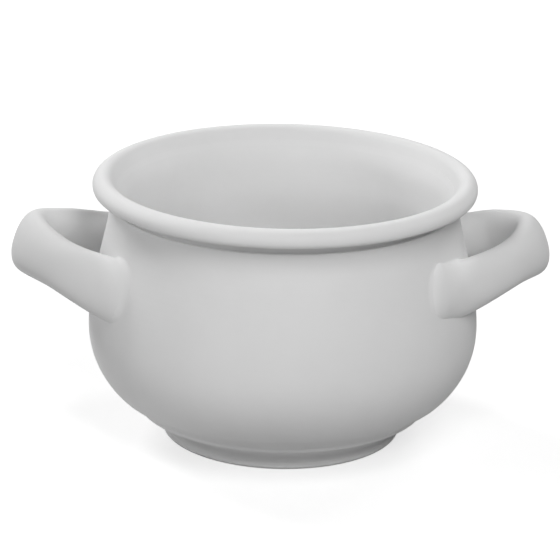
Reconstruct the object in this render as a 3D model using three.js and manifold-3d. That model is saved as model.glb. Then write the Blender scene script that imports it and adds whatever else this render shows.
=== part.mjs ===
// Two-handled soup bowl in unglazed white earthenware, as the pieces it is luted together from.
// Millimetres, +Z up. The origin is the centre of the plane that the foot stands on,
// and the two loop handles lie along X.
import * as THREE from 'three';
import { mergeVertices } from 'three/addons/utils/BufferGeometryUtils.js';
import Module from 'manifold-3d';

// Overall sizes
const HEIGHT = 88.9;
const RIM_OD = 127;
const BELLY_OD = 129.7;
const BELLY_Z = 37.3;
const FOOT_OD = 79.5;

// Wall and floor of the bowl
const WALL = 4;
const FLOOR = 4.9;
const THROAT_DROP = 9.9; // from the top of the rim down to the narrowest part
const RIM_OVERHANG = 5.9; // how far the rim stands out from the throat
const THROAT_RUN = 7; // how long the throat stays upright before it swells out
const SHOULDER_RUN = 14.5; // how long the belly stays upright above its widest part
const LOWER_BELLY_RUN = 14.9; // and below it
const UNDERSIDE_RUN = 14.6; // how far the underside runs out from the foot before it turns up
const UNDERSIDE_LIFT = 2.7;
const INSIDE_CORNER = 14; // roundness of the corner between the inner wall and the floor
const INNER_THROAT_DROP = 14.9; // from the top of the rim down to the narrowest part of the inside
const THROAT_WALL = 4.6; // how far that part lies inside the throat's outside
const INNER_THROAT_RUN = 4.5; // how long the inside stays upright there

// Rolled rim: a round coil with a notch that saddles the lip of the wall, smeared down inside it
const RIM_COIL = 7;
const SADDLE_DROP = 1.3; // ceiling of the notch, below the middle of the coil
const LIP_FLARE = 0.5; // how far the lip flares out from the throat
const LIP_SHOW = 0.4; // how far below the coil that flare ends
const MOUTH_LEAN = 33; // degrees that the inside of the mouth slopes from upright
const MOUTH_RUN = 3.2; // how far that slope runs on below the lip before it turns upright

// Foot ring
const FOOT_HEIGHT = 6.8;
const FOOT_WIDTH = 5.2;
const FOOT_EDGE = 0.8; // bevel on the edges that touch the table
const FOOT_COVE = 0.8; // how deep the outside of the ring is hollowed
const FOOT_BEAD = 0.6; // how far the bead round its top stands out
const BEAD_TALL = 2;

// Loop handles: a strap of oval section in a plane that rises outwards
const STRAP_THICK = 10;
const STRAP_FULLNESS = 2.4; // 2 is a plain ellipse, more is squarer
const ROOT_TALL = 20.6; // strap height where it meets the wall
const WAIST_TALL = 15.6; // and halfway along each side
const NOSE_TALL = 19.3; // and at the far end
const ROOT_SPREAD = 51.2; // between the two roots
const ROOT_DROP = 21.8; // from the throat down to the middle of a root
const WAIST_SPREAD = 34.8; // between the two sides, halfway along
const WAIST_OUT = 11.7; // from the wall out to the waist
const WAIST_RISE = 6; // from the root up to the waist
const NOSE_OUT = 21.6; // from the wall out to the nose
const NOSE_RISE = 8.2; // from the root up to the nose
const LOOP_TILT = 19; // degrees that the strap leans back towards the bowl
const ROOT_EMBED = 9; // how far the strap's form runs on into the wall before it is trimmed to it

// Luting slip
const SLIP_BED = 0.8; // thickness of the slip in a joint
const FILLET_ABOVE = 4; // how far the wiped fillet spreads over the wall on top of a handle's root
const FILLET_BELOW = 0.8; // and under it, where a finger can't wipe
const FILLET_RUN = 7; // how far it runs up the strap
const FIT_GAP = 0.3; // clearance between a handle, its slip and the wall

// Fineness of the curved faces
const ROUND_STEPS = 56;
const CURVE_STEPS = 7;
const BEND_STEPS = 3;
const STRAP_SIDES = 20;
const STRAP_RINGS = 30;
const ROOT_RINGS = 12;
const ROOT_STRETCH = 0.3; // share of the strap's line that holds one root and its fillet

// Places worked out from those sizes
const bellyR = BELLY_OD / 2;
const throatR = RIM_OD / 2 - RIM_OVERHANG;
const throatZ = HEIGHT - THROAT_DROP;
const innerThroatR = throatR - THROAT_WALL;
const innerThroatZ = HEIGHT - INNER_THROAT_DROP;
const footR = FOOT_OD / 2;
const undersideZ = FOOT_HEIGHT + SLIP_BED;
const floorZ = undersideZ + FLOOR;
const coilR = RIM_COIL / 2;
const coilAt = new THREE.Vector2(RIM_OD / 2 - coilR, HEIGHT - coilR);
const notchZ = coilAt.y - SADDLE_DROP;
const lipZ = notchZ - SLIP_BED;
const lipR = throatR + LIP_FLARE;
const mouthLean = THREE.MathUtils.degToRad(MOUTH_LEAN);

// Radius of the mouth's sloped inside at a height: the line that leaves the coil without a step
function mouthRadius(z) {
  const leaveR = coilAt.x - coilR * Math.cos(mouthLean);
  const leaveZ = coilAt.y + coilR * Math.sin(mouthLean);
  return leaveR - (leaveZ - z) * Math.tan(mouthLean);
}

const wasm = await Module();
wasm.setup();

// A profile of [radius, height] points, or a path of them, turned about the bowl's axis
function turned(points) {
  const profile = points.map((point) => (Array.isArray(point) ? new THREE.Vector2(...point) : point));
  return new THREE.LatheGeometry(profile, ROUND_STEPS).rotateX(Math.PI / 2);
}

// The outside of the wall from the foot up to the throat, moved out by a clearance
function outside(out) {
  const path = new THREE.Path();
  path.moveTo(footR + out, undersideZ);
  path.bezierCurveTo(
    footR + UNDERSIDE_RUN + out, undersideZ + UNDERSIDE_LIFT,
    bellyR + out, BELLY_Z - LOWER_BELLY_RUN,
    bellyR + out, BELLY_Z,
  );
  path.bezierCurveTo(
    bellyR + out, BELLY_Z + SHOULDER_RUN,
    throatR + out, throatZ - THROAT_RUN,
    throatR + out, throatZ,
  );
  return path;
}

// The lip under the rim coil, from the throat's outside to its inside
function lip() {
  const path = new THREE.Path();
  path.moveTo(throatR, throatZ);
  path.lineTo(lipR, HEIGHT - RIM_COIL - LIP_SHOW);
  path.lineTo(lipR, lipZ);
  path.lineTo(mouthRadius(lipZ), lipZ);
  path.bezierCurveTo(
    mouthRadius(lipZ - MOUTH_RUN), lipZ - MOUTH_RUN,
    innerThroatR, innerThroatZ + INNER_THROAT_RUN,
    innerThroatR, innerThroatZ,
  );
  return path;
}

// The inside, from the throat down to the floor
function inside() {
  const innerBelly = bellyR - WALL;
  const path = new THREE.Path();
  path.moveTo(innerThroatR, innerThroatZ);
  path.bezierCurveTo(
    innerThroatR, innerThroatZ - INNER_THROAT_RUN,
    innerBelly, BELLY_Z + SHOULDER_RUN,
    innerBelly, BELLY_Z,
  );
  path.bezierCurveTo(
    innerBelly, BELLY_Z - INSIDE_CORNER,
    footR - WALL + INSIDE_CORNER, floorZ,
    footR - WALL, floorZ,
  );
  return path;
}

function bowlBody() {
  const wall = outside(0).getPoints(CURVE_STEPS);
  const edge = lip().getPoints(BEND_STEPS);
  const hollow = inside().getPoints(CURVE_STEPS);
  return turned([[0, undersideZ], ...wall, ...edge.slice(1, -1), ...hollow, [0, floorZ]]);
}

// The coil's round, from its hook over the outside of the lip, over the top, to the mouth's slope
function rimRoll() {
  const hookR = lipR + FIT_GAP;
  const round = new THREE.Path();
  const start = -Math.acos((hookR - coilAt.x) / coilR);
  const top = Math.PI / 2;
  const end = Math.PI - mouthLean;
  round.absarc(coilAt.x, coilAt.y, coilR, start, 0, false);
  round.absarc(coilAt.x, coilAt.y, coilR, 0, top, false);
  round.absarc(coilAt.x, coilAt.y, coilR, top, end, false);
  const points = round.getPoints(BEND_STEPS);
  return turned([...points, [mouthRadius(notchZ), notchZ], [hookR, notchZ], points[0]]);
}

// A flat ring of slip between two seats
function slipRing(innerR, outerR, bottomZ) {
  const topZ = bottomZ + SLIP_BED;
  const corners = [[innerR, bottomZ], [outerR, bottomZ], [outerR, topZ], [innerR, topZ]];
  return turned([...corners, corners[0]]);
}

function footRing() {
  const innerR = footR - FOOT_WIDTH;
  const corners = [
    [innerR + FOOT_EDGE, 0],
    [footR - FOOT_EDGE, 0],
    [footR, FOOT_EDGE],
    [footR - FOOT_COVE, (FOOT_EDGE + FOOT_HEIGHT - BEAD_TALL) / 2],
    [footR, FOOT_HEIGHT - BEAD_TALL],
    [footR + FOOT_BEAD, FOOT_HEIGHT - BEAD_TALL / 2],
    [footR, FOOT_HEIGHT],
    [innerR, FOOT_HEIGHT],
    [innerR, FOOT_EDGE],
  ];
  return turned([...corners, corners[0]]);
}

// Radius of the outside of the wall at a height
const wallLine = outside(0).getPoints(CURVE_STEPS);

function wallRadius(z) {
  const above = wallLine.findIndex((point) => point.y >= z);
  const high = wallLine[above < 1 ? wallLine.length - 1 : above];
  const low = wallLine[above < 1 ? wallLine.length - 2 : above - 1];
  return THREE.MathUtils.mapLinear(z, low.y, high.y, low.x, high.x);
}

// The strap's middle line and half sizes, from one root round the nose to the other
const rootY = ROOT_SPREAD / 2;
const rootZ = throatZ - ROOT_DROP;
const wallX = wallRadius(rootZ);
const rootX = Math.sqrt(wallX ** 2 - rootY ** 2);
const waist = new THREE.Vector3(wallX + WAIST_OUT, WAIST_SPREAD / 2, rootZ + WAIST_RISE);
const root = new THREE.Vector3(rootX, rootY, rootZ);
const outwards = waist.clone().sub(root).normalize();
const embed = root.clone().addScaledVector(outwards, -ROOT_EMBED);
const nose = new THREE.Vector3(wallX + NOSE_OUT, 0, rootZ + NOSE_RISE);
const farSide = [waist, root, embed];
const nearSide = farSide.map((point) => new THREE.Vector3(point.x, -point.y, point.z)).reverse();
const strapLine = new THREE.CatmullRomCurve3([...nearSide, nose, ...farSide], false, 'catmullrom');
const sideTalls = [WAIST_TALL, ROOT_TALL, ROOT_TALL];
const talls = [...sideTalls.toReversed(), NOSE_TALL, ...sideTalls];
const strapTall = new THREE.SplineCurve(talls.map((tall, step) => new THREE.Vector2(step, tall)));
const tilt = THREE.MathUtils.degToRad(LOOP_TILT);
const loopNormal = new THREE.Vector3(-Math.sin(tilt), 0, Math.cos(tilt));

// One oval ring of the strap; grow gives how far each point moves out,
// from its distance to the wall and the way it faces
function strapRing(t, grow) {
  const centre = strapLine.getPoint(t);
  const along = strapLine.getTangent(t);
  const tall = loopNormal.clone().addScaledVector(along, -along.dot(loopNormal)).normalize();
  const across = new THREE.Vector3().crossVectors(along, tall);
  const halfThick = STRAP_THICK / 2;
  const halfTall = strapTall.getPoint(t).y / 2;
  return Array.from({ length: STRAP_SIDES }, (_, side) => {
    const angle = (2 * Math.PI * side) / STRAP_SIDES;
    const cos = Math.cos(angle);
    const sin = Math.sin(angle);
    const point = centre.clone();
    point.addScaledVector(across, halfThick * Math.sign(cos) * Math.abs(cos) ** (2 / STRAP_FULLNESS));
    point.addScaledVector(tall, halfTall * Math.sign(sin) * Math.abs(sin) ** (2 / STRAP_FULLNESS));
    const facing = across.clone().multiplyScalar(cos / halfThick);
    facing.addScaledVector(tall, sin / halfTall).normalize();
    const wallDistance = Math.hypot(point.x, point.y) - wallRadius(point.z);
    return point.addScaledVector(facing, grow(wallDistance, facing));
  });
}

// A closed skin over a stretch of the strap's rings
function strapStretch(from, to, count, grow) {
  const points = [];
  const faces = [];
  for (let ring = 0; ring <= count; ring += 1) {
    points.push(...strapRing(THREE.MathUtils.lerp(from, to, ring / count), grow));
  }
  for (let ring = 0; ring < count; ring += 1) {
    for (let side = 0; side < STRAP_SIDES; side += 1) {
      const a = ring * STRAP_SIDES + side;
      const b = ring * STRAP_SIDES + ((side + 1) % STRAP_SIDES);
      faces.push(a, b + STRAP_SIDES, b, a, a + STRAP_SIDES, b + STRAP_SIDES);
    }
  }
  const last = count * STRAP_SIDES;
  for (let side = 1; side < STRAP_SIDES - 1; side += 1) {
    faces.push(0, side, side + 1);
    faces.push(last, last + side + 1, last + side);
  }
  return new THREE.BufferGeometry().setFromPoints(points).setIndex(faces);
}

// A closed geometry as a solid that can be cut
function solidOf(geometry) {
  const bare = geometry.clone();
  bare.deleteAttribute('normal');
  bare.deleteAttribute('uv');
  const merged = mergeVertices(bare);
  const corners = merged.index.array;
  const triVerts = [];
  for (let i = 0; i < corners.length; i += 3) {
    const [a, b, c] = corners.slice(i, i + 3);
    if (a !== b && b !== c && c !== a) triVerts.push(a, b, c);
  }
  return new wasm.Manifold(new wasm.Mesh({
    numProp: 3,
    vertProperties: new Float32Array(merged.attributes.position.array),
    triVerts: new Uint32Array(triVerts),
  }));
}

function geometryOf(solid) {
  const { vertProperties, triVerts } = solid.getMesh();
  const geometry = new THREE.BufferGeometry();
  geometry.setAttribute('position', new THREE.BufferAttribute(vertProperties, 3));
  geometry.setIndex(new THREE.BufferAttribute(triVerts, 1));
  geometry.computeVertexNormals();
  return geometry;
}

// The bowl as a filled form, grown by a clearance, which shapes the roots that seat on it
function filledBowl(out) {
  const wall = outside(out).getPoints(CURVE_STEPS);
  return solidOf(turned([[0, undersideZ], ...wall, [0, throatZ]]));
}

// A handle stops short of the wall by its slip bed and a gap on each side of it
const strap = solidOf(strapStretch(0, 1, STRAP_RINGS, () => 0));
const handleGeometry = geometryOf(strap.subtract(filledBowl(SLIP_BED + 2 * FIT_GAP)));

// The slip under one root: its bed on the wall and the fillet wiped round it
function rootSlip(from, to) {
  const wiped = (distance, facing) => {
    const spread = THREE.MathUtils.mapLinear(facing.z, -1, 1, FILLET_BELOW, FILLET_ABOVE);
    const left = 1 - Math.max(distance, 0) / FILLET_RUN;
    return left > 0 ? spread * left ** 2 : 0;
  };
  const fillet = solidOf(strapStretch(from, to, ROOT_RINGS, wiped));
  const room = solidOf(strapStretch(0, 1, STRAP_RINGS, () => FIT_GAP));
  const handleRoom = room.subtract(filledBowl(FIT_GAP + SLIP_BED));
  return geometryOf(fillet.subtract(filledBowl(FIT_GAP)).subtract(handleRoom));
}

const nearRootSlip = rootSlip(0, ROOT_STRETCH);
const farRootSlip = rootSlip(1 - ROOT_STRETCH, 1);

// Dry bisque is a matt off-white, and wiped slip dries a little lighter
const BISQUE = 0xe0e0e0;
const WIPED_SLIP = 0xe2e2e2;

const bowl = new THREE.Group();

function addPiece(name, geometry, colour, parent = bowl) {
  const material = new THREE.MeshStandardMaterial({ color: colour, roughness: 0.9, metalness: 0 });
  const mesh = new THREE.Mesh(geometry, material);
  mesh.name = name;
  parent.add(mesh);
}

addPiece('bowl_body', bowlBody(), BISQUE);
addPiece('rim_roll', rimRoll(), BISQUE);
addPiece('rim_slip_ring', slipRing(mouthRadius(notchZ) + FIT_GAP, lipR - FIT_GAP, lipZ), WIPED_SLIP);
addPiece('foot_ring', footRing(), BISQUE);
addPiece('foot_slip_ring', slipRing(footR - FOOT_WIDTH, footR - FOOT_EDGE, FOOT_HEIGHT), WIPED_SLIP);

// The right handle lies along +X; the left one is the same strap, turned half round
const rightSide = new THREE.Group();
addPiece('right_handle', handleGeometry, BISQUE, rightSide);
addPiece('right_handle_front_slip', nearRootSlip, WIPED_SLIP, rightSide);
addPiece('right_handle_back_slip', farRootSlip, WIPED_SLIP, rightSide);
bowl.add(rightSide);

const leftSide = new THREE.Group();
leftSide.rotation.z = Math.PI;
addPiece('left_handle', handleGeometry, BISQUE, leftSide);
addPiece('left_handle_front_slip', farRootSlip, WIPED_SLIP, leftSide);
addPiece('left_handle_back_slip', nearRootSlip, WIPED_SLIP, leftSide);
bowl.add(leftSide);

export default bowl;
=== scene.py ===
# %% [markdown]
# A soup bowl with two loop handles, in white earthenware that was fired once and never glazed.
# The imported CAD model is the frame: its pieces give the places and the main sizes. This lesson
# models a smoother skin for each of them, finer by up to two millimetres at edges, grooves and
# roots, gives the skins the surface of bare clay, and lights them.
# Sizes below are in millimetres, as on a potter's drawing, and the scene is in metres.

# %% The frame
import math

import bmesh
import bpy
from mathutils import Matrix, Vector
from mathutils.geometry import interpolate_bezier


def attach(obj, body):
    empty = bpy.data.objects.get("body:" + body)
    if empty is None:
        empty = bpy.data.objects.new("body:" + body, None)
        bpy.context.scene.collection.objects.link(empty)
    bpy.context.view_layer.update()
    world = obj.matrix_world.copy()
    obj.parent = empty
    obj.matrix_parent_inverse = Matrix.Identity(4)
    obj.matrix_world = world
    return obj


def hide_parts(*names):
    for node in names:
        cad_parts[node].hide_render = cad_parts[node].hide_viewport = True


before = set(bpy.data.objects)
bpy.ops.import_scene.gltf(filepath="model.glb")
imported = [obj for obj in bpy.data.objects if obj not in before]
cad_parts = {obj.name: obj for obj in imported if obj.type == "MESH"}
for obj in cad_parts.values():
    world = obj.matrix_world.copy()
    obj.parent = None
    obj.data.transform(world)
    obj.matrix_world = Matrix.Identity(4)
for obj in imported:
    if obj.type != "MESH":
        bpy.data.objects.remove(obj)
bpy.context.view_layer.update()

MM = 0.001
ORIGIN = (0, 0, 0)
bpy.ops.object.select_all(action="DESELECT")
print("CAD nodes:", sorted(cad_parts))

# %% [markdown]
# The camera comes first, so that every later step can be looked at from the right place. It could
# be set by eye. Here its distance, height and slight roll were worked out from the ellipse of the
# rim, the ellipse of the foot and the two handles, for a bowl of the CAD model's size. A long lens
# keeps the rim and the foot nearly alike in width, as a product photographer does.

# %% Camera
CAMERA_DISTANCE = 1000
CAMERA_AZIMUTH = math.radians(-3.3)
CAMERA_ELEVATION = math.radians(18.75)
CAMERA_ROLL = math.radians(1.04)
TARGET_HEIGHT = 51.9
TARGET_ASIDE = -1.15
PICTURE_SIZE = 560  # pixels
FOCAL_PIXELS = 3000
CLIP_END = 20  # m, far beyond the table

back = Vector((
    math.sin(CAMERA_AZIMUTH) * math.cos(CAMERA_ELEVATION),
    -math.cos(CAMERA_AZIMUTH) * math.cos(CAMERA_ELEVATION),
    math.sin(CAMERA_ELEVATION),
))
aside = Vector((math.cos(CAMERA_AZIMUTH), math.sin(CAMERA_AZIMUTH), 0))
target = aside * TARGET_ASIDE + Vector((0, 0, TARGET_HEIGHT))
bpy.ops.object.camera_add(location=(target + back * CAMERA_DISTANCE) * MM)
camera = bpy.context.object
camera.rotation_mode = "QUATERNION"
camera.rotation_quaternion = (
    back.to_track_quat("Z", "Y") @ Matrix.Rotation(CAMERA_ROLL, 3, "Z").to_quaternion()
)
camera.data.angle = 2 * math.atan(PICTURE_SIZE / 2 / FOCAL_PIXELS)
camera.data.clip_end = CLIP_END
bpy.context.scene.camera = camera
print("camera lens in mm:", round(camera.data.lens, 1))

# %% [markdown]
# The wall is the piece that was thrown or cast: a round belly with a soft edge over the foot, a
# drawn-in throat with a groove round it under the lip, and a flat floor. A turned form needs only
# half its section. A pen curve could draw it, but a vertex that is extruded from point to point
# gives the mesh that Spin needs at once. The round stretches are Bezier bends with few handles, so
# the line stays as fair as a potter's rib leaves it.

# %% Sizes of the wall
HEIGHT = 88.9
RIM_RADIUS = 63.5
FOOT_RADIUS = 39.75
UNDERSIDE_Z = 7.6
FLOOR_Z = 12.5
THROAT_Z = 79
LIP_Z = 83.3
WALL_THICK = 4.5
COIL_RADIUS = 3.5
COIL_AT = Vector((RIM_RADIUS - COIL_RADIUS, HEIGHT - COIL_RADIUS))
MOUTH_LEAN = 28  # degrees from upright

# Turning points of the half section, as radius and height
UNDERSIDE = Vector((FOOT_RADIUS, UNDERSIDE_Z))
EDGE = Vector((48.8, 10.2))
BELLY = Vector((64.85, 37.3))
THROAT = Vector((57.6, THROAT_Z))
GROOVE = Vector((56.2, 79.5))
INNER_THROAT = Vector((52.8, 71))
INNER_BELLY = BELLY - Vector((WALL_THICK, 0))
FLOOR = Vector((35.75, FLOOR_Z))


def on_coil(degrees):
    """A point of the rim coil's round, counted from its outermost point over the top."""
    angle = math.radians(degrees)
    return COIL_AT + COIL_RADIUS * Vector((math.cos(angle), math.sin(angle)))


def on_mouth(z, proud=0):
    """A point of the mouth's sloped inside, which leaves the coil's round without a step."""
    lean = math.radians(MOUTH_LEAN)
    leave = on_coil(180 - MOUTH_LEAN)
    return Vector((leave.x - (leave.y - z) * math.tan(lean) - proud, z))


print("radius of the mouth at the lip in mm:", round(on_mouth(LIP_Z).x, 1))

# %% The wall's half section
BEND_POINTS = 25
EDGE_POINTS = 14
BLEND_POINTS = 16
CORNER_POINTS = 12
EDGE_SHARE = 11  # points of the belly's bend that the soft edge takes the place of
EDGE_EASE = 3.5  # mm over which the edge runs out into the belly
MOUTH_EASE = 3.6  # mm of height over which the mouth's slope runs on into the throat

# Handles of the bends, as reach out and up from an end: a longer one makes a fuller round
UNDER_BELLY, BELOW_BELLY, ABOVE_BELLY = (14.6, 2.7), (0, -14.9), (0, 14.5)
ALONG_UNDERSIDE, BELOW_EDGE, ABOVE_EDGE = (6.05, 0.2), (-0.1, -1.3), (0.2, 1.6)
BELOW_THROAT, ABOVE_THROAT, OUT_OF_GROOVE = (0, -7), (0, 0.8), (1.2, 0.4)
INTO_THROAT, DOWN_THROAT = (0, 6), (0, -13)
INTO_BELLY, DOWN_BELLY, ALONG_FLOOR = (0, 13), (0, -14), (14, 0)


def bend(start, pull, push, end, points=BEND_POINTS):
    """Points of a smooth bend, drawn with a handle at each end like a pen curve."""
    start, end = Vector(start), Vector(end)
    return interpolate_bezier(start, start + Vector(pull), end + Vector(push), end, points)


belly = bend(UNDERSIDE, UNDER_BELLY, BELOW_BELLY, BELLY)[EDGE_SHARE:]
into_belly = (belly[1] - belly[0]).normalized() * EDGE_EASE
outside = bend(UNDERSIDE, ALONG_UNDERSIDE, BELOW_EDGE, EDGE, EDGE_POINTS)
outside += bend(EDGE, ABOVE_EDGE, -into_belly, belly[0], BLEND_POINTS)[1:]
outside += belly[1:]
outside += bend(BELLY, ABOVE_BELLY, BELOW_THROAT, THROAT)[1:]
neck = bend(THROAT, ABOVE_THROAT, OUT_OF_GROOVE, GROOVE, CORNER_POINTS)[1:]
down_mouth = on_mouth(LIP_Z - MOUTH_EASE) - on_mouth(LIP_Z)
inside = bend(on_mouth(LIP_Z), down_mouth, INTO_THROAT, INNER_THROAT)
inside += bend(INNER_THROAT, DOWN_THROAT, INTO_BELLY, INNER_BELLY)[1:]
inside += bend(INNER_BELLY, DOWN_BELLY, ALONG_FLOOR, FLOOR)[1:]
wall_section = [
    Vector((0, UNDERSIDE_Z)), *outside, *neck, Vector((GROOVE.x, LIP_Z)),
    *inside, Vector((0, FLOOR_Z)),
]
print("points in the wall's half section:", len(wall_section))

# %% [markdown]
# Spin turns the half section round the bowl's axis, as the wheel does. Points on the axis land on
# top of each other and so do the first and last copy, so doubles are merged, and the normals are
# recalculated after that because Spin can leave them pointing inwards.

# %% Turn a half section on the wheel
ROUND_STEPS = 144
SHARP = math.radians(38)
DOUBLE = 0.001


def new_piece(name):
    """Names the object that was just added, with its place put into its mesh."""
    piece = bpy.context.object
    piece.name = piece.data.name = name
    bpy.ops.object.transform_apply(location=True, rotation=True, scale=True)
    return piece


def close_piece(piece):
    """Merges doubles, points the faces outwards and smooths all but the sharp edges."""
    bpy.ops.object.mode_set(mode="EDIT")
    bpy.ops.mesh.select_all(action="SELECT")
    bpy.ops.mesh.remove_doubles(threshold=DOUBLE * MM)
    bpy.ops.mesh.dissolve_degenerate(threshold=DOUBLE * MM)
    bpy.ops.mesh.normals_make_consistent(inside=False)
    bpy.ops.object.mode_set(mode="OBJECT")
    bpy.ops.object.shade_smooth_by_angle(angle=SHARP)
    print(piece.name, "faces:", len(piece.data.polygons))


def turned(name, section):
    """A half section of (radius, height) points in mm, drawn by extruding a vertex, then spun."""
    bpy.ops.object.select_all(action="DESELECT")
    bpy.ops.mesh.primitive_plane_add(size=MM)
    piece = new_piece(name)
    bpy.ops.object.mode_set(mode="EDIT")
    bpy.ops.mesh.select_all(action="SELECT")
    bpy.ops.mesh.merge(type="CENTER")
    bpy.ops.transform.translate(value=(section[0].x * MM, 0, section[0].y * MM))
    for here, there in zip(section, section[1:]):
        step = (there - here) * MM
        bpy.ops.mesh.extrude_region_move(TRANSFORM_OT_translate={"value": (step.x, 0, step.y)})
    bpy.ops.mesh.select_all(action="SELECT")
    bpy.ops.mesh.spin(steps=ROUND_STEPS, angle=math.tau, center=ORIGIN, axis=(0, 0, 1))
    close_piece(piece)
    return piece


wall = turned("wall", wall_section)

# %% [markdown]
# The rolled rim is a round coil of clay that saddles the lip. It is notched for that, pressed flat
# underneath so that a crisp lower edge hangs over the groove, and smeared down inside so that the
# mouth slopes in without a step. A torus would give the round but none of the rest, so the half
# section is an arc that is closed over the lip.

# %% Rim coil
NOTCH_Z = 84.1
HOOK = Vector((56, 83.1))
FLAT_END = Vector((61.2, HOOK.y))
ALONG_FLAT, BELOW_COIL = (1.8, 0), (0, -1.3)
ARC_STEPS = 26
lower_edge = bend(FLAT_END, ALONG_FLAT, BELOW_COIL, on_coil(0), CORNER_POINTS)
arc_step = (180 - MOUTH_LEAN) / ARC_STEPS
round_part = [on_coil(arc_step * step) for step in range(1, ARC_STEPS + 1)]
rim = turned("rim", [
    HOOK, *lower_edge, *round_part, on_mouth(NOTCH_Z), Vector((HOOK.x, NOTCH_Z)), HOOK])

# %% [markdown]
# The foot ring was turned and set under the floor. Its outside is a little hollow between the edge
# it stands on and its top, and the soft edge of the belly stands out over it. Its two resting edges
# were softened with a wet finger, so each is a small round and not a knife edge.

# %% Foot ring
FOOT_HEIGHT = 6.8
FOOT_THICK = 5.2
FOOT_INSIDE = FOOT_RADIUS - FOOT_THICK
FOOT_TOP = Vector((40.05, FOOT_HEIGHT))
FOOT_EDGE = 0.8
FOOT_EDGE_POINTS = 6
HOLLOW_POINTS = 16
ABOVE_FOOT_EDGE, BELOW_FOOT_TOP = (-1, 0.6), (-1.3, -3.6)
reach = FOOT_EDGE / 2
outer_edge = bend((FOOT_RADIUS - FOOT_EDGE, 0), (reach, 0), (0, -reach),
                  (FOOT_RADIUS, FOOT_EDGE), FOOT_EDGE_POINTS)
inner_edge = bend((FOOT_INSIDE, FOOT_EDGE), (0, -reach), (-reach, 0),
                  (FOOT_INSIDE + FOOT_EDGE, 0), FOOT_EDGE_POINTS)
hollow = bend((FOOT_RADIUS, FOOT_EDGE), ABOVE_FOOT_EDGE, BELOW_FOOT_TOP,
              FOOT_TOP, HOLLOW_POINTS)[1:]
foot = turned("foot", [
    *outer_edge, *hollow, Vector((FOOT_INSIDE, FOOT_HEIGHT)), *inner_edge, outer_edge[0]])

# %% [markdown]
# Slip, clay thinned with water, fills the joint under the rim coil and the one over the foot. The
# CAD model has it as flat rings between the pieces. What shows on the real bowl is the seam after
# a finger has wiped it: flush with the slope of the mouth, and a hollow curve from the wall of the
# foot out to the soft edge of the belly. Each ring's hidden side reaches a little into its
# neighbours, as wet slip does.

# %% Wiped seams
SEAM_DEPTH = 0.8
SEAM_PROUD = 0.02
SEAM_LAP = 0.5  # mm that the rim's seam is wiped over the pieces above and below it
FOOT_START, FOOT_END = 5, 9  # points of the foot's hollow and the wall's outside
UP_THE_FOOT, UNDER_THE_EDGE = (0.1, 2.6), (-3.2, -1.4)
INTO_WALL = Vector((-0.3, SEAM_DEPTH))
INTO_FLOOR = 0.4
into_clay = Vector((SEAM_DEPTH, 0))
seam_top = on_mouth(NOTCH_Z + SEAM_LAP, SEAM_PROUD)
seam_end = on_mouth(LIP_Z - SEAM_LAP, SEAM_PROUD)
rim_seam = turned("rim_seam", [
    seam_top, seam_end, seam_end + into_clay, seam_top + into_clay, seam_top])
foot_start = hollow[FOOT_START] + Vector((SEAM_PROUD, 0))
foot_end = outside[FOOT_END]
foot_face = bend(foot_start, UP_THE_FOOT, UNDER_THE_EDGE, foot_end, BLEND_POINTS)
hidden_radius = FOOT_RADIUS - SEAM_DEPTH
foot_seam = turned("foot_seam", [
    *foot_face, foot_end + INTO_WALL, Vector((hidden_radius, UNDERSIDE_Z + INTO_FLOOR)),
    Vector((hidden_radius, foot_start.y)), foot_start])

# %% [markdown]
# Each handle is a pulled strap of clay, a slightly flattened oval in section, bent into a loop that
# rises away from the bowl. At each root its end bends round and lies along the wall, pressed in
# until little of it stands proud. A curve with a bevel could sweep it, but its height changes along
# the way: tall at the roots, lower at the waist, taller again at the nose. So a filled ring is
# extruded along the loop, and each new ring is laid square to the line at its own height. Both
# loops are modelled on the right, and the left one is turned round at the end. They were pulled by
# hand, so the left one is a little larger, and the ends of the right one were drawn out further.

# %% Sizes of the straps
STRAP_THICK = 10
LOOP_TILT = math.radians(19)
ROOT_Y = 25.6
WAIST_Y = 17.4
WAIST_OUT = 11.7
# The talls are the strap's heights at its end, root, waist and nose
RIGHT_STRAP = {"root_z": 57.9, "waist_rise": 5.7, "nose_rise": 7.2, "nose_out": 20.9,
               "talls": (20.9, 18.4, 15.1, 19.4), "tail": 14, "tail_rise": 2.5, "tail_sink": 3}
LEFT_STRAP = {"root_z": 57.2, "waist_rise": 6, "nose_rise": 8.8, "nose_out": 22.3,
              "talls": (21.6, 21.2, 16.8, 19.9), "tail": 8.5, "tail_rise": 0.5, "tail_sink": 5.5}


def wall_radius(z):
    """Radius of the outside of the wall at a height, in mm."""
    for low, high in zip(outside, outside[1:]):
        if low.y <= z <= high.y:
            return low.x + (high.x - low.x) * (z - low.y) / (high.y - low.y)
    return outside[-1].x if z > outside[-1].y else outside[0].x


def at_wall(angle, z, deep=0):
    """A place on the wall, or a little deep in it, by its angle from the handles' side."""
    radius = wall_radius(z) - deep
    return Vector((radius * math.cos(angle), radius * math.sin(angle), z))


print("the wall's radius at the roots:", round(wall_radius(RIGHT_STRAP["root_z"]), 1))

# %% The strap's line
SPAN_STEPS = 18
HANDLE_SHARE = 6  # a handle is this part of the way between a place's neighbours


def smooth_line(places):
    """A fair line through places: each span is a bend whose handles follow its neighbours."""
    line = [places[0]]
    for at in range(len(places) - 1):
        before, here = places[max(at - 1, 0)], places[at]
        there, after = places[at + 1], places[min(at + 2, len(places) - 1)]
        pull = here + (there - before) / HANDLE_SHARE
        push = there - (after - here) / HANDLE_SHARE
        line += interpolate_bezier(here, pull, push, there, SPAN_STEPS + 1)[1:]
    return line


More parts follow.
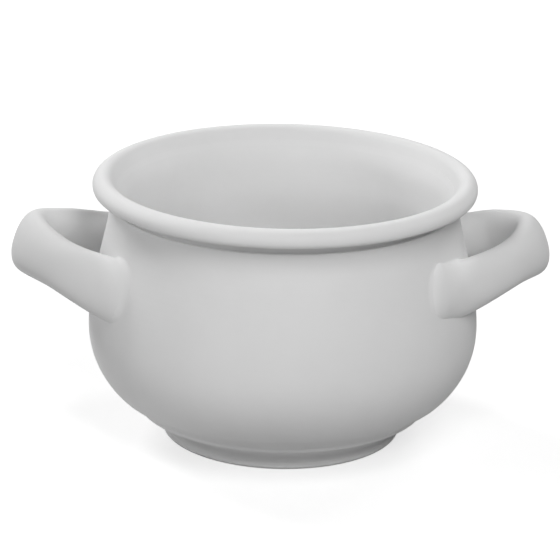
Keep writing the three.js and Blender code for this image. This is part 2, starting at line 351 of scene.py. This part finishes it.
def strap_line(root_z, waist_rise, nose_rise, nose_out, talls, tail, tail_rise, tail_sink):
    """Centres and heights of a strap's rings, from its front end round to its back one."""
    wall_x = wall_radius(root_z)
    root_angle = math.asin(ROOT_Y / wall_x)
    nose = Vector((wall_x + nose_out, 0, root_z + nose_rise))
    back_half = [Vector((wall_x + WAIST_OUT, WAIST_Y, root_z + waist_rise)),
                 at_wall(root_angle, root_z),
                 at_wall(root_angle + tail / wall_x, root_z + tail_rise, tail_sink)]
    front_half = [Vector((knot.x, -knot.y, knot.z)) for knot in reversed(back_half)]
    heights = [Vector(pair) for pair in enumerate([*talls, *reversed(talls[:-1])])]
    return smooth_line([*front_half, nose, *back_half]), [place.y for place in smooth_line(heights)]


print("places along a strap:", len(strap_line(**RIGHT_STRAP)[0]))

# %% Rings of a strap
STRAP_SIDES = 48
STRAP_FLATNESS = 0.9
TAIL_ROUND = 7
END_TURNS = [math.radians(angle) for angle in (12, 24, 36, 48, 60, 72)]
LOOP_UP = Vector((-math.sin(LOOP_TILT), 0, math.cos(LOOP_TILT)))


def flattened(part):
    """A sine or cosine drawn out towards its ends, which makes an oval's faces flatter."""
    return math.copysign(abs(part) ** STRAP_FLATNESS, part)


def oval(place, heading, height, thickness):
    """The places of one ring, which stands square to the strap's heading."""
    across = heading.cross(LOOP_UP).normalized() * thickness / 2
    upright = across.cross(heading).normalized() * height / 2
    turns = [math.tau * side / STRAP_SIDES for side in range(STRAP_SIDES)]
    return [place + across * flattened(math.cos(angle)) + upright * flattened(math.sin(angle))
            for angle in turns]


def dome(end, heading, height, reach):
    """Smaller and smaller rings that round off an end of the strap, reaching on or back from it."""
    return [oval(end + heading * reach * math.sin(angle), heading,
                 height * math.cos(angle), STRAP_THICK * math.cos(angle)) for angle in END_TURNS]


def strap_rings(line, heights):
    """All rings of a strap, from the tip of its front end to the tip of its back one."""
    ends = [line[0], *line, line[-1]]
    headings = [(after - before).normalized() for before, after in zip(ends, ends[2:])]
    front = dome(line[0], headings[0], heights[0], -TAIL_ROUND)
    middle = [oval(*ring, STRAP_THICK) for ring in zip(line, headings, heights)]
    return [*reversed(front), *middle, *dome(line[-1], headings[-1], heights[-1], TAIL_ROUND)]


right_rings = strap_rings(*strap_line(**RIGHT_STRAP))
left_rings = strap_rings(*strap_line(**LEFT_STRAP))
print("rings in a strap:", len(right_rings))

# %% Extrude the straps
def lay(piece, places):
    """Lays the newest ring of vertices on a loop of places in mm."""
    mesh = bmesh.from_edit_mesh(piece.data)
    mesh.verts.ensure_lookup_table()
    for vertex, place in zip(mesh.verts[-len(places):], places):
        vertex.co = place * MM
    bmesh.update_edit_mesh(piece.data)


def extruded(name, rings, **options):
    """A piece in edit mode: a circle laid on the first ring, then extruded from ring to ring."""
    bpy.ops.object.select_all(action="DESELECT")
    bpy.ops.mesh.primitive_circle_add(vertices=len(rings[0]), radius=MM, **options)
    piece = new_piece(name)
    bpy.ops.object.mode_set(mode="EDIT")
    bpy.ops.mesh.select_all(action="SELECT")
    lay(piece, rings[0])
    for ring in rings[1:]:
        bpy.ops.mesh.extrude_region_move()
        lay(piece, ring)
    return piece


right_loop = extruded("right_loop", right_rings, fill_type="NGON")
close_piece(right_loop)
left_loop = extruded("left_loop", left_rings, fill_type="NGON")
close_piece(left_loop)

# %% [markdown]
# Where a root meets the wall, the potter pressed it on with slip and wiped the squeezed-out clay
# with a finger: into a soft fillet on top and at the end, and hardly at all below, where no finger
# can reach. A bevel along a boolean's edge would be even all round, so the fillet is drawn instead.
# Each line of the strap is followed out of the wall, and a bend leads from it over the wall.

# %% Places on the wall
SLOPE_REACH = 0.5


def off_wall(place):
    """How far a place lies outside the wall, in mm."""
    return place.xy.length - wall_radius(place.z)


def on_wall(place, proud=0):
    """The place on the wall at the same height and direction, or a little proud of it."""
    slope = wall_radius(place.z + SLOPE_REACH) - wall_radius(place.z - SLOPE_REACH)
    out = Vector((*place.xy.normalized(), -slope)).normalized()
    return Vector((*(place.xy.normalized() * wall_radius(place.z)), place.z)) + out * proud


def leaving(line):
    """Where a line of the strap's front root leaves the wall, and the places after that."""
    after = next(at for at in range(len(line)) if off_wall(line[at]) > 0)
    inner, outer = line[after - 1], line[after]
    share = off_wall(inner) / (off_wall(inner) - off_wall(outer))
    return inner.lerp(outer, share), line[after:]


print("the right strap's front tip lies", round(-off_wall(right_rings[0][0]), 1), "mm in the wall")

# %% Lines of a fillet
FILLET_BELOW, FILLET_ABOVE, FILLET_END = 0.1, 0.8, 1.0
STRAP_BLEND = 1
FILLET_DEPTH = 0.8
FACE_POINTS = 10
HOLLOW = 0.6
INTO_ROOT = 0.2  # part of the way to the middle of the root, where the fillet closes


def fillet_line(corner, strap, centre):
    """From the strap over the wall beside one corner of the joint, and back inside the clay."""
    to_middle = Vector((corner.y, -corner.x, 0)).normalized()
    away = corner - centre
    angle = math.atan2(away.z, away.dot(to_middle))
    along = to_middle * math.cos(angle) + Vector((0, 0, math.sin(angle)))
    spread = FILLET_BELOW + (FILLET_ABOVE - FILLET_BELOW) * (math.sin(angle) + 1) / 2
    spread += FILLET_END * max(math.cos(angle), 0) ** 2
    start = next(place for place in strap if (place - corner).length > STRAP_BLEND + spread)
    edge = on_wall(corner + along * spread)
    pull, push = start.lerp(corner, HOLLOW), edge.lerp(corner, HOLLOW)
    face = interpolate_bezier(start, pull, push, edge, FACE_POINTS)
    return [*face, on_wall(edge, -FILLET_DEPTH), start.lerp(centre, INTO_ROOT)]


def fillet_lines(loop):
    """The lines of the fillet round a loop's front root."""
    places = [vertex.co / MM for vertex in loop.data.vertices]
    corners = [leaving(places[side::STRAP_SIDES]) for side in range(STRAP_SIDES)]
    centre = sum((corner for corner, strap in corners), Vector()) / STRAP_SIDES
    return [fillet_line(corner, strap, centre) for corner, strap in corners]


right_fillet, left_fillet = fillet_lines(right_loop), fillet_lines(left_loop)
print("lines in a fillet:", len(right_fillet), "of", len(right_fillet[0]), "points")

# %% [markdown]
# The lines are skinned as the straps were: a circle is laid on the first loop of points, and its
# edges are extruded and laid on the next loop. The first and the last loop are then still open, so
# they are selected as such and bridged.

# %% Skin the fillets
def skinned(name, lines):
    """A closed skin over lines of equal length that stand in a ring."""
    pad = extruded(name, list(zip(*lines)))
    bpy.ops.mesh.select_mode(type="EDGE")
    bpy.ops.mesh.select_all(action="DESELECT")
    bpy.ops.mesh.select_non_manifold()
    bpy.ops.mesh.bridge_edge_loops()
    bpy.ops.mesh.select_mode(type="VERT")
    close_piece(pad)
    return pad


right_front_pad = skinned("right_front_pad", right_fillet)
right_back_pad = skinned("right_back_pad", right_fillet)
left_front_pad = skinned("left_front_pad", left_fillet)
left_back_pad = skinned("left_back_pad", left_fillet)

# %% [markdown]
# The straps' ends still run through the wall. A core, the bowl's own form made a little smaller,
# cuts them off inside the clay, as the potter cuts the root to the curve of the wall. The cut
# leaves faces with many corners, which can fold over when a file stores them as triangles. So all
# faces are split into well-shaped triangles here.

# %% Trim the roots
ROOT_DEPTH = 1.5
into_wall = Vector((ROOT_DEPTH, 0))
core = turned("core", [
    Vector((0, UNDERSIDE_Z)), *(place - into_wall for place in outside), Vector((0, THROAT_Z))])
for loop in (right_loop, left_loop):
    bpy.ops.object.select_all(action="DESELECT")
    bpy.context.view_layer.objects.active = loop
    loop.select_set(True)
    trim = loop.modifiers.new("trim", "BOOLEAN")
    trim.operation = "DIFFERENCE"
    trim.object = core
    bpy.ops.object.modifier_apply(modifier=trim.name)
    bpy.ops.object.mode_set(mode="EDIT")
    bpy.ops.mesh.select_all(action="SELECT")
    bpy.ops.mesh.quads_convert_to_tris(quad_method="BEAUTY", ngon_method="BEAUTY")
    close_piece(loop)
bpy.data.objects.remove(core)

# %% [markdown]
# All four pads were modelled at the right front root. The one for the right back root is mirrored
# there. The left loop is turned half round with its back pad, and its front pad is mirrored first.

# %% Put the pads and the left handle in place
def turn(angle, axis, centre):
    """Turns what is selected about an axis through a point; with no window the sign is swapped."""
    bpy.ops.transform.rotate(value=-angle, orient_axis=axis, center_override=centre)


def set_in_place(piece, mirror, half_turn):
    """Mirrors a piece from front to back, or turns it half round to the left, or both."""
    bpy.ops.object.select_all(action="DESELECT")
    bpy.context.view_layer.objects.active = piece
    piece.select_set(True)
    if mirror:
        bpy.ops.transform.resize(value=(1, -1, 1), center_override=ORIGIN)
    if half_turn:
        turn(math.pi, "Z", ORIGIN)
    bpy.ops.object.transform_apply(location=True, rotation=True, scale=True)
    close_piece(piece)


set_in_place(right_back_pad, mirror=True, half_turn=False)
set_in_place(left_front_pad, mirror=True, half_turn=True)
set_in_place(left_back_pad, mirror=False, half_turn=True)
set_in_place(left_loop, mirror=False, half_turn=True)

# %% [markdown]
# The clay is white earthenware in the biscuit state: fired once, without glaze. It was sponged
# smooth while damp, so the eye sees a dead matt, even off-white with only the faintest clouds, a
# very fine grain, and on the turned pieces a trace of the rings that the wheel leaves. On the
# straps the clay is painted a shade darker, as painted shade, and that painted shade fades out
# at the roots.
# A picture could be wrapped round the bowl, but plain noises in Object coordinates leave no seams
# and suit a clay that is the same all through the piece.

# %% Colours and one way to add a node
PALE, DEEP = "#EAEAEA", "#E3E3E3"
SLIP_PALE, SLIP_DEEP = "#EBEBEB", "#E4E4E4"


def linear(hex_colour):
    """An sRGB hex colour as the linear colour that shaders take."""
    parts = [int(hex_colour[at:at + 2], 16) / 255 for at in (1, 3, 5)]
    return [part / 12.92 if part <= 0.04045 else ((part + 0.055) / 1.055) ** 2.4
            for part in parts] + [1]


def add_node(tree, kind, inputs=None, **settings):
    """Adds a node: settings are its options, inputs are values or sockets, by name or place."""
    made = tree.nodes.new(kind)
    for name, value in settings.items():
        setattr(made, name, value)
    for name, value in (inputs or {}).items():
        if isinstance(value, bpy.types.NodeSocket):
            tree.links.new(value, made.inputs[name])
        else:
            made.inputs[name].default_value = value
    return made


print("pale clay in linear light:", round(linear(PALE)[0], 3))

# %% Painted shade on the straps and rings of the wheel
PAINTED_SHADE_FROM, PAINTED_SHADE_TO = 62.5, 68  # mm from the bowl's axis, over which the painted shade on the straps fades in
# Painted shade: the straps' clay is multiplied by this tone to stand in for the shade on them.
PAINTED_SHADE_TONE = "#F5F5F5"
RING_SPACING = 2.37  # mm, between marks of the wheel
RING_HEIGHT = 0.006  # mm
RING_WANDER = {"Distortion": 1.5, "Detail": 2, "Detail Scale": 0.6}
BAND = math.tau / 20  # between the bands of a wave texture at scale 1
FACTOR, COLOUR_A, COLOUR_B, RESULT = 0, 6, 7, 2  # places of a colour mix's sockets


def painted_strap_shade(tree, place, colour):
    """The colour of the clay, painted a shade darker away from the wall: painted shade on the
    straps.
    """
    level = add_node(tree, "ShaderNodeVectorMath", {0: place, 1: (1, 1, 0)}, operation="MULTIPLY")
    reach = add_node(tree, "ShaderNodeVectorMath", {0: level.outputs[0]}, operation="LENGTH")
    painted_shade_mask = add_node(tree, "ShaderNodeMapRange", {
        "Value": reach.outputs["Value"], "From Min": PAINTED_SHADE_FROM * MM, "From Max": PAINTED_SHADE_TO * MM},
        interpolation_type="SMOOTHSTEP")
    return add_node(tree, "ShaderNodeMix", {
        FACTOR: painted_shade_mask.outputs["Result"], COLOUR_A: colour, COLOUR_B: linear(PAINTED_SHADE_TONE)},
        data_type="RGBA", blend_type="MULTIPLY").outputs[RESULT]


def wheel_rings(tree, place, normal):
    """Faint rings round the bowl, laid over the grain of the surface."""
    marks = add_node(tree, "ShaderNodeTexWave", {
        "Vector": place, "Scale": BAND / (RING_SPACING * MM), **RING_WANDER}, bands_direction="Z")
    return add_node(tree, "ShaderNodeBump", {
        "Height": marks.outputs["Fac"], "Strength": 1, "Distance": RING_HEIGHT * MM,
        "Normal": normal}).outputs["Normal"]


print("rings of the wheel from foot to rim:", round(HEIGHT / RING_SPACING))

# %% Earthenware
CLOUD_SIZE = 22  # mm, clouds left by the sponge
CLOUD_DETAIL, CLOUD_ROUGHNESS = 4, 0.6
GRAIN_SIZE = 0.9  # mm, drawn several times coarser than the real grit so that it shows
GRAIN_DETAIL = 2
GRAIN_HEIGHT = 0.006  # mm
MATT_FROM, MATT_TO = 0.84, 0.94
CLAY_IOR = 1.5


def earthenware(name, pale, deep, rings=False, painted_shade=False):
    """Unglazed white earthenware, with the marks of the wheel or painted shade on the straps."""
    material = bpy.data.materials.new(name)
    material.use_nodes = True
    tree = material.node_tree
    tree.nodes.clear()
    place = add_node(tree, "ShaderNodeTexCoord").outputs["Object"]
    clouds = add_node(tree, "ShaderNodeTexNoise", {
        "Vector": place, "Scale": 1 / (CLOUD_SIZE * MM), "Detail": CLOUD_DETAIL,
        "Roughness": CLOUD_ROUGHNESS}).outputs["Fac"]
    grain = add_node(tree, "ShaderNodeTexNoise", {
        "Vector": place, "Scale": 1 / (GRAIN_SIZE * MM), "Detail": GRAIN_DETAIL}).outputs["Fac"]
    colour = add_node(tree, "ShaderNodeMix", {
        FACTOR: clouds, COLOUR_A: linear(deep), COLOUR_B: linear(pale)},
        data_type="RGBA").outputs[RESULT]
    # Painted shade: the straps are darkened away from the wall to stand in for the shade they get.
    if painted_shade:
        colour = painted_strap_shade(tree, place, colour)
    matt = add_node(tree, "ShaderNodeMapRange", {
        "Value": clouds, "To Min": MATT_FROM, "To Max": MATT_TO}).outputs["Result"]
    normal = add_node(tree, "ShaderNodeBump", {
        "Height": grain, "Strength": 1, "Distance": GRAIN_HEIGHT * MM}).outputs["Normal"]
    if rings:
        normal = wheel_rings(tree, place, normal)
    clay = add_node(tree, "ShaderNodeBsdfPrincipled", {
        "Base Color": colour, "Roughness": matt, "IOR": CLAY_IOR, "Normal": normal})
    add_node(tree, "ShaderNodeOutputMaterial", {"Surface": clay.outputs["BSDF"]})
    print("material:", name)
    return material


turned_bisque = earthenware("bisque_earthenware_turned", PALE, DEEP, rings=True)
# The straps' clay, with painted shade on it.
strap_bisque_painted_shade = earthenware("bisque_earthenware_painted_shade", PALE, DEEP, painted_shade=True)
wiped_slip = earthenware("bisque_slip_wiped", SLIP_PALE, SLIP_DEEP)

# %% [markdown]
# Each piece takes the place of its CAD node, rides on the one rigid body and gets its material.

# %% Pieces on the frame
PIECES = [
    (wall, "bowl_body", "bisque", turned_bisque),
    (rim, "rim_roll", "bisque", turned_bisque),
    (foot, "foot_ring", "bisque", turned_bisque),
    (rim_seam, "rim_slip_ring", "slip", wiped_slip),
    (foot_seam, "foot_slip_ring", "slip", wiped_slip),
    # The straps take the clay with painted shade.
    (right_loop, "right_handle", "bisque", strap_bisque_painted_shade),
    (left_loop, "left_handle", "bisque", strap_bisque_painted_shade),
    (right_front_pad, "right_handle_front_slip", "slip", wiped_slip),
    (right_back_pad, "right_handle_back_slip", "slip", wiped_slip),
    (left_front_pad, "left_handle_front_slip", "slip", wiped_slip),
    (left_back_pad, "left_handle_back_slip", "slip", wiped_slip),
]
for piece, node, clay, material in PIECES:
    piece.data.materials.append(material)
    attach(piece, "root")
    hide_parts(node)
print("pieces:", len(PIECES))

# %% [markdown]
# The bowl stands on a plain round table, a metre in radius, with white beyond it. To the camera the
# table is lifted to white, with the bowl's soft shadow kept, while the light that it throws back up
# at the belly stays that of a pale matt board.

# %% Table
TABLE_COLOUR = "#BCBCBC"
TABLE_LIFT = 0.65
TABLE_RADIUS = 1.0  # m
TABLE_SIDES = 96


def seen_directly(tree):
    """1 for rays from the camera, also after a mirror or glass, and 0 for bounced light."""
    rays = add_node(tree, "ShaderNodeLightPath").outputs
    mirrored = add_node(tree, "ShaderNodeMath", {
        0: rays["Is Camera Ray"], 1: rays["Is Glossy Ray"]}, operation="MAXIMUM")
    return add_node(tree, "ShaderNodeMath", {
        0: mirrored.outputs[0], 1: rays["Is Transmission Ray"]}, operation="MAXIMUM").outputs[0]


bpy.ops.object.select_all(action="DESELECT")
bpy.ops.mesh.primitive_circle_add(vertices=TABLE_SIDES, radius=TABLE_RADIUS, fill_type="NGON")
table = new_piece("table")
board = bpy.data.materials.new("matt_white_board")
board.use_nodes = True
tree = board.node_tree
tree.nodes.clear()
paper = add_node(tree, "ShaderNodeBsdfDiffuse", {"Color": linear(TABLE_COLOUR)})
lift = add_node(tree, "ShaderNodeEmission", {"Strength": TABLE_LIFT})
lifted = add_node(tree, "ShaderNodeAddShader", {0: paper.outputs[0], 1: lift.outputs[0]})
shown = add_node(tree, "ShaderNodeMixShader", {
    0: seen_directly(tree), 1: paper.outputs[0], 2: lifted.outputs[0]})
add_node(tree, "ShaderNodeOutputMaterial", {"Surface": shown.outputs[0]})
table.data.materials.append(board)
print("table across in m:", 2 * TABLE_RADIUS)

# %% [markdown]
# The light is soft and comes from all round, as in a white tent. Two lamps a little to the right of
# the camera give most of what the front shows: one stands half high, and one high, which draws the
# shadow under the rim. Weak ones low in front and at the left reach under the belly. Behind stand a
# strong one at the left and a weaker one at the right, which lift the rim and the edges. Together
# they light the clay at a plain level.

# %% Light
LAMPS = [  # name, degrees to the right of the front, degrees up, watts
    ("left", -75, 22, 3.8),
    ("front", -15, 22, 2.7),
    ("middle", 20, 38, 8.2),
    ("high", 15, 58, 6.2),
    ("back_left", -135, 36, 13.3),
    ("back_right", 135, 36, 5.7),
]
LAMP_DISTANCE = 1.6  # m
LAMP_SIZE = 0.6  # m
LAMP_CENTRE = Vector((0, 0, 0.05))  # m, the middle of the bowl

for name, azimuth, elevation, power in LAMPS:
    a, e = math.radians(azimuth), math.radians(elevation)
    way = Vector((math.sin(a) * math.cos(e), -math.cos(a) * math.cos(e), math.sin(e)))
    bpy.ops.object.light_add(type="AREA", location=way * LAMP_DISTANCE + LAMP_CENTRE)
    lamp = bpy.context.object
    lamp.name = name
    lamp.rotation_mode = "QUATERNION"
    lamp.rotation_quaternion = way.to_track_quat("Z", "Y")
    lamp.data.shape = "DISK"
    lamp.data.size = LAMP_SIZE
    lamp.data.energy = power
print("lamps:", len(LAMPS))

# %% [markdown]
# The room is white to the camera, as a photographer's paper backdrop is, and gives the clay only a
# breath of light, so that the lamps shape it.

# %% Room
AMBIENT = 0.02
WHITE = "#FFFFFF"

scene = bpy.context.scene
scene.view_settings.view_transform = "Standard"
room = scene.world or bpy.data.worlds.new("studio")
scene.world = room
room.use_nodes = True
tree = room.node_tree
tree.nodes.clear()
strength = add_node(tree, "ShaderNodeMapRange", {
    "Value": seen_directly(tree), "To Min": AMBIENT, "To Max": 1})
walls = add_node(tree, "ShaderNodeBackground", {
    "Color": linear(WHITE), "Strength": strength.outputs["Result"]})
add_node(tree, "ShaderNodeOutputWorld", {"Surface": walls.outputs[0]})
print("the room's light on the clay:", AMBIENT)
